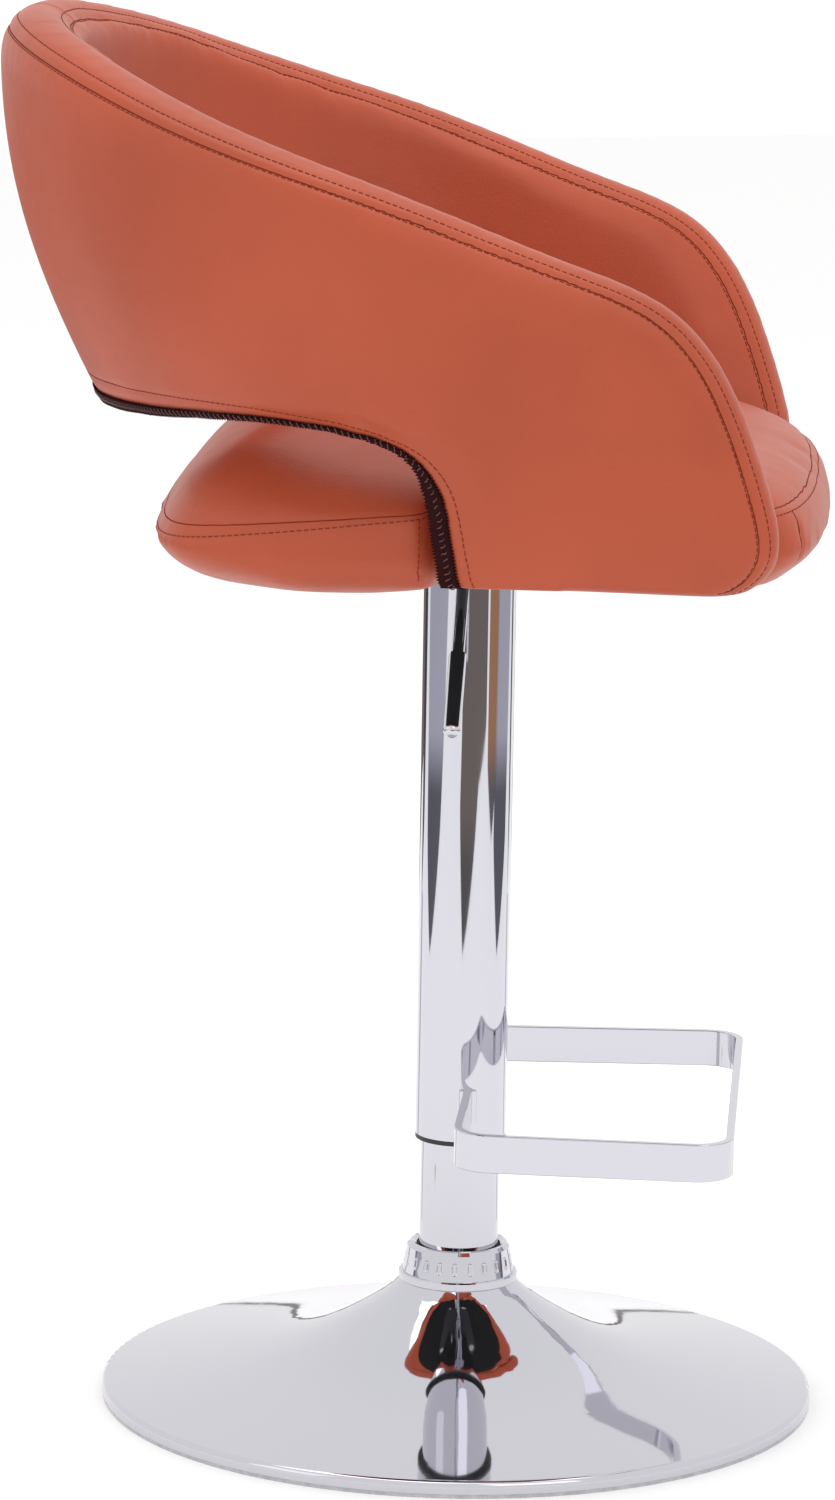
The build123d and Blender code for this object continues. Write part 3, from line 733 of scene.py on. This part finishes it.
band = band_cover()
crown(band, CROWN_CAP)
outer_seam = band_line(OUTER_SEAM_DOWN)
cap_seam = band_line(CAP_SEAM_DOWN)
inner_seam = band_line(INNER_SEAM_DOWN, inside=True)
inner_cap_seam = band_line(INNER_CAP_SEAM_DOWN, inside=True)
outer_downs = np.linspace(OUTER_SEAM_DOWN, 0, CROSS_POINTS)
inner_downs = np.linspace(CROSS_GAP, INNER_SEAM_DOWN, CROSS_POINTS)
outer_part = [(down, rim_depth(down)) for down in outer_downs]
inner_part = [(down, BAND_WALL - rim_depth(down)) for down in inner_downs]
cross_seam = even_line([wall_point(MIDDLE_COLUMN, *place) for place in outer_part + inner_part])
zip_seam = edge_line(ZIP_STITCH_UP)
sew(band, [outer_seam[::2], inner_seam[::2], cross_seam], *BAND_SEAM_PULL)
sew(band, [cap_seam[::2], inner_cap_seam[::2], zip_seam[::2]], *CAP_SEAM_PULL)
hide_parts("back_band")
band_skin = skin_tree(band)


def seam_piece(name, tree, line, radius):
    """A thin dark tube that lies in a seam: partly its thread line, partly painted shade of the seam's
    groove.
    """
    frames = line_frames(on_skin(tree, line[::2], CREASE_LIFT))
    piece = mesh_piece(name, *tube(frames, radius, CREASE_FLAT), seam_shade_and_thread)


def stitch_piece(name, tree, line):
    """A row of threads that lies on the skin."""
    frames = line_frames(on_skin(tree, line, THREAD_LIFT))
    piece = mesh_piece(name, *stitches(frames), thread)


seam_piece("band_outer_seam", band_skin, outer_seam, BAND_CREASE_R)
seam_piece("band_inner_seam", band_skin, inner_seam, BAND_CREASE_R)
seam_piece("band_cross_seam", band_skin, cross_seam, CREASE_R)
stitch_piece("band_outer_stitches", band_skin, band_line(OUTER_SEAM_DOWN + STITCH_GAP))
stitch_piece("band_cap_stitches", band_skin, cap_seam)
stitch_piece("band_inner_stitches", band_skin, band_line(INNER_SEAM_DOWN + STITCH_GAP, inside=True))
stitch_piece("band_inner_cap_stitches", band_skin, inner_cap_seam)
stitch_piece("zip_leather_stitches", band_skin, zip_seam)


# ---- zip ----
def tape_row(share):
    """One lengthwise row of the tape, as evenly spaced points and the band's outward direction at each.

    A point past the edge is held on the skin near the edge, then moved straight on along the wall.
    """
    wanted, held = [], []
    for column in ALL_COLUMNS:
        length = wall_length(column)
        height = lower[abs(column - MIDDLE_COLUMN)][1]
        beside = smooth_step(-height, -TAPE_BESIDE_FROM, -TAPE_BESIDE_TO)
        low = TAPE_LOW + (TAPE_BESIDE_LOW - TAPE_LOW) * beside
        high = TAPE_HIGH + (TAPE_BESIDE_HIGH - TAPE_HIGH) * beside
        up = low + (high - low) * share
        wanted.append(wall_point(column, length - up, 0.0))
        held.append(wall_point(column, length - max(up, TAPE_HOLD), 0.0))
    wanted, held = evenly(np.array(wanted), TAPE_POINTS), evenly(np.array(held), TAPE_POINTS)
    row = []
    for target, start in zip(wanted, held):
        spot, normal, _, _ = band_skin.find_nearest(Vector(start))
        row.append((spot + normal * TAPE_LIFT + Vector(target - start), normal))
    return row


def zip_tape():
    """The cloth tape: it lies on the band's skin, with a cut edge that zigzags a little."""
    rows = [tape_row(share) for share in np.linspace(0, 1, TAPE_ROWS)]
    points = []
    for i in range(TAPE_POINTS):
        line = [row[i][0] for row in rows]
        across = (line[-1] - line[0]).normalized() * (TAPE_JAG * math.sin(i * TAPE_JAG_TURN))
        line[0] -= across
        line[-1] += across
        points += line
    faces = grid_faces(TAPE_POINTS, len(rows), False)
    piece = mesh_piece("zip_tape_cover", points, faces, materials["zip_cloth"])
    apply_modifier(piece, "SOLIDIFY", thickness=TAPE_THICK, offset=-1.0)
    return piece


def zip_coil():
    """The zip's fine coil: a helix along the middle of the tape."""
    middle = [(spot + normal * COIL_LIFT, normal) for spot, normal in tape_row(0.5)]
    frames = line_frames(middle)
    gap = (frames[-1][0] - frames[-2][0]).length
    turns = 2 * math.pi * gap / COIL_PITCH
    wound = []
    for i, (spot, along, across, up) in enumerate(frames):
        for part in range(COIL_PARTS):
            turn = (i + part / COIL_PARTS) * turns
            centre = spot + along * (gap * part / COIL_PARTS)
            sideways = across * (COIL_R * math.cos(turn))
            wound.append(centre + sideways + up * (COIL_R * COIL_FLAT * math.sin(turn)))
    placed = [(point, Vector((0, 0, 1))) for point in wound]
    points, faces = tube(line_frames(placed), COIL_WIRE, 1.0, 4)
    return mesh_piece("zip_coil_wire", points, faces, materials["zip_plastic"])


tape = zip_tape()
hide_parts("zip_tape")
coil = zip_coil()
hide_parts("zip_coil")


# ---- seat ----
def seat_line(offset, height):
    """A closed line round the seat, an offset outside its seam line; height follows Y.

    Between the arms nothing stands outside the seam line, and the nose bulges most.
    """
    half = spline(SEAT_OUTLINE, SEAT_POINTS // 2 + 1)
    outline = np.concatenate([half, half[-2:0:-1] * (-1, 1)])
    ahead = np.roll(outline, -1, axis=0) - np.roll(outline, 1, axis=0)
    normals = np.stack([-ahead[:, 1], ahead[:, 0]], axis=1)
    normals /= np.linalg.norm(normals, axis=1, keepdims=True)
    middle = np.array(SEAT_CENTRE)
    ring = []
    for (x, y), normal in zip(outline, normals):
        out = offset(y) if callable(offset) else offset
        if out > 0:
            out *= smooth_step(y, *ARM_FADE) + NOSE_BULGE * smooth_step(-y, *NOSE_FADE)
            flat = np.array((x, y)) + normal * out
        else:
            reach = np.array((x, y)) - middle
            flat = middle + reach * max(SMALLEST_SHARE, 1 + out / np.linalg.norm(reach))
        ring.append((flat[0], flat[1], height(y)))
    return ring


def seam_height(y):
    """Height of the seam between the seat's top panel and its boxing."""
    return min(SEAM_TOP, SEAM_LEVEL - SEAM_SLOPE * y)


def under_round(y):
    """How far in the rounding under the seat reaches; it is longer at the rear."""
    return SIDE_ROUND + (REAR_ROUND - SIDE_ROUND) * smooth_step(y, *ROUND_FADE)


def seat_cover():
    """The crowned seat as one closed skin of rings."""
    rings = []
    for reach in BOTTOM_RINGS:
        rings.append(seat_line(-reach, lambda y: SEAT_BOTTOM))
    for turn in SIDE_TURNS:
        rise = SEAT_SIDE_Z * (1 - math.cos(turn))
        rings.append(
            seat_line(
                lambda y, t=turn: SEAT_BULGE - under_round(y) * (1 - math.sin(t)),
                lambda y, r=rise: SEAT_BOTTOM + r,
            )
        )
    for out, below in BOXING_RINGS:
        rings.append(seat_line(out, lambda y, b=below: seam_height(y) - b))
    for inset, rise in SEAT_DOME:
        rings.append(
            seat_line(-inset, lambda y, r=rise: seam_height(y) + r * (1 + SEAM_SLOPE * y / DOME_RISE))
        )
    points = [point for ring in rings for point in ring]
    faces = grid_faces(len(rings), len(rings[0]), True)
    faces.append(range(len(rings[0])))
    faces.append(range(len(points) - len(rings[0]), len(points)))
    return mesh_piece("seat_cover", points, faces, materials["faux_leather"])


def rest_on_board(piece):
    """Lifts the skin off the board's underside, so that it ends round the board and the dust cover shows."""
    places = np.empty(3 * len(piece.data.vertices))
    piece.data.vertices.foreach_get("co", places)
    places = places.reshape(-1, 3)
    low, high = (np.array(corner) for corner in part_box("seat_board"))
    inside = np.all((places[:, :2] > low[:2]) & (places[:, :2] < high[:2]), axis=1)
    places[inside, 2] = np.maximum(places[inside, 2], low[2] + BOARD_GAP)
    piece.data.vertices.foreach_set("co", places.ravel())
    piece.data.update()


seat = seat_cover()
crown(seat, CROWN_CAP)
rest_on_board(seat)
seam_ring = seat_line(0.0, seam_height)
from_nose = seam_ring[SEAT_POINTS // 2 :] + seam_ring[: SEAT_POINTS // 2]
rear_part = [(x, y, z) for x, y, z in from_nose if y > REAR_SEAM_FROM]
front_part = [(x, y, z) for x, y, z in seam_ring if y < FRONT_SEAM_TO]
rear_seam = even_line(rear_part)
front_seam = even_line(front_part)


def boxing_line(side, place, head, foot):
    """A line down the boxing at a place, from a gap below the seam to a gap above the seat's bottom."""
    x, y = place
    heights = np.linspace(seam_height(y) - head, SEAT_BOTTOM + foot, BOXING_POINTS)
    return even_line([(side * x, y, z) for z in heights])


darts = [boxing_line(side, DART_PLACE, 0.0, DART_FOOT) for side in (-1, 1)]
sew(seat, [rear_seam[::2], front_seam[::2]], *SEAT_SEAM_PULL)
sew(seat, [dart[::2] for dart in darts], *DART_PULL)
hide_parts("seat_cushion")
seat_skin = skin_tree(seat)

seam_piece("seat_rear_seam", seat_skin, rear_seam, CREASE_R)
seam_piece("seat_front_seam", seat_skin, front_seam, CREASE_R)
for label, dart in zip(("near", "far"), darts):
    seam_piece(f"seat_dart_{label}", seat_skin, dart, CREASE_R)
lower_rear = []
for x, y, z in rear_part:
    down = REAR_STITCH_DOWN + REAR_STITCH_SLOPE * max(0.0, y - REAR_SLOPE_FROM)
    lower_rear.append((x * REAR_STITCH_SHARE, y * REAR_STITCH_SHARE, z - down))
lower_front = [(x, y - FRONT_STITCH_OUT, z - FRONT_STITCH_DOWN) for x, y, z in front_part]
stitch_piece("seat_rear_stitches", seat_skin, even_line(lower_rear))
stitch_piece("seat_front_stitches", seat_skin, even_line(lower_front))
for side, label in ((-1, "near"), (1, "far")):
    joint = boxing_line(side, JOINT_PLACE, JOINT_HEAD, JOINT_FOOT)
    stitch_piece(f"boxing_stitches_{label}", seat_skin, joint)


# ---- stage, light and camera ----
def camera():
    """A long lens on the lever's side, aimed by heading, pitch and roll."""
    heading = Vector((math.cos(CAMERA_HEADING), math.sin(CAMERA_HEADING), 0))
    forward = heading * math.cos(CAMERA_PITCH) - Vector((0, 0, math.sin(CAMERA_PITCH)))
    right = forward.cross(Vector((0, 0, 1))).normalized()
    up = right.cross(forward)
    right, up = (
        right * math.cos(CAMERA_ROLL) + up * math.sin(CAMERA_ROLL),
        up * math.cos(CAMERA_ROLL) - right * math.sin(CAMERA_ROLL),
    )
    data = bpy.data.cameras.new("camera")
    data.lens = CAMERA_LENS
    data.sensor_width = 36.0
    data.clip_end = 100.0
    view = bpy.data.objects.new("camera", data)
    axes = Matrix((right, up, -forward)).transposed().to_4x4()
    view.matrix_world = Matrix.Translation(CAMERA_PLACE) @ axes
    bpy.context.scene.collection.objects.link(view)
    bpy.context.scene.camera = view


def stage_plane(name, corners, height, color):
    """A flat piece of the stage."""
    mesh = bpy.data.meshes.new(name)
    mesh.from_pydata([(x, y, height) for x, y in corners], [], [tuple(range(len(corners)))])
    mesh.materials.append(new_material(name, color, 0.8))
    plane = bpy.data.objects.new(name, mesh)
    bpy.context.scene.collection.objects.link(plane)
    return plane


def floor():
    """A wide pale floor."""
    corners = [(x * FLOOR_SIZE, y * FLOOR_SIZE) for x, y in ((-1, -1), (1, -1), (1, 1), (-1, 1))]
    plane = stage_plane("pale_floor", corners, 0.0, FLOOR_COLOR)
    shader = plane.data.materials[0].node_tree.nodes["Principled BSDF"]
    shader.inputs["Emission Color"].default_value = (1, 1, 1, 1)
    shader.inputs["Emission Strength"].default_value = FLOOR_GLOW


def reflected_card(name, corners, near_color, far_color, turn_place):
    """A card on the floor that only the chrome sees; it changes colour at a distance from the column."""
    turned = [(math.radians(turn), reach) for turn, reach in corners]
    points = [(reach * math.cos(turn), reach * math.sin(turn)) for turn, reach in turned]
    card = stage_plane(name, points, CARD_HEIGHT, near_color)
    card.visible_camera = False
    card.visible_diffuse = False
    card.visible_shadow = False
    material = card.data.materials[0]
    distance = add_node(material, "ShaderNodeVectorMath", operation="LENGTH")
    spread = add_node(material, "ShaderNodeMapRange")
    spread.inputs["From Min"].default_value = turn_place - CARD_BLEND
    spread.inputs["From Max"].default_value = turn_place + CARD_BLEND
    links = material.node_tree.links
    links.new(object_space(material), distance.inputs[0])
    links.new(distance.outputs["Value"], spread.inputs["Value"])
    vary_color(material, spread.outputs["Result"], near_color, far_color)


def reflected_cards():
    """Dark cards round the stool, each a wedge with a pointed near end."""
    for label, near_color, far_color, turn_place, corners in CARDS:
        reflected_card(f"card_{label}", corners, near_color, far_color, turn_place)


def area_light(name, place, size, power):
    """A white panel that faces the middle of the stool."""
    data = bpy.data.lights.new(name, "AREA")
    data.shape = "RECTANGLE"
    data.size, data.size_y = size
    data.energy = power
    light = bpy.data.objects.new(name, data)
    light.location = place
    light.rotation_euler = (Vector(LIGHT_TARGET) - Vector(place)).to_track_quat("-Z", "Y").to_euler()
    bpy.context.scene.collection.objects.link(light)


def studio():
    """White surroundings and three soft panels."""
    world = bpy.data.worlds.new("studio")
    world.use_nodes = True
    world.node_tree.nodes["Background"].inputs["Color"].default_value = (1, 1, 1, 1)
    world.node_tree.nodes["Background"].inputs["Strength"].default_value = 1.0
    bpy.context.scene.world = world
    for name, place, size, power in LIGHTS:
        area_light(name, place, size, power)


camera()
floor()
reflected_cards()
studio()
bpy.context.scene.view_settings.view_transform = "Standard"
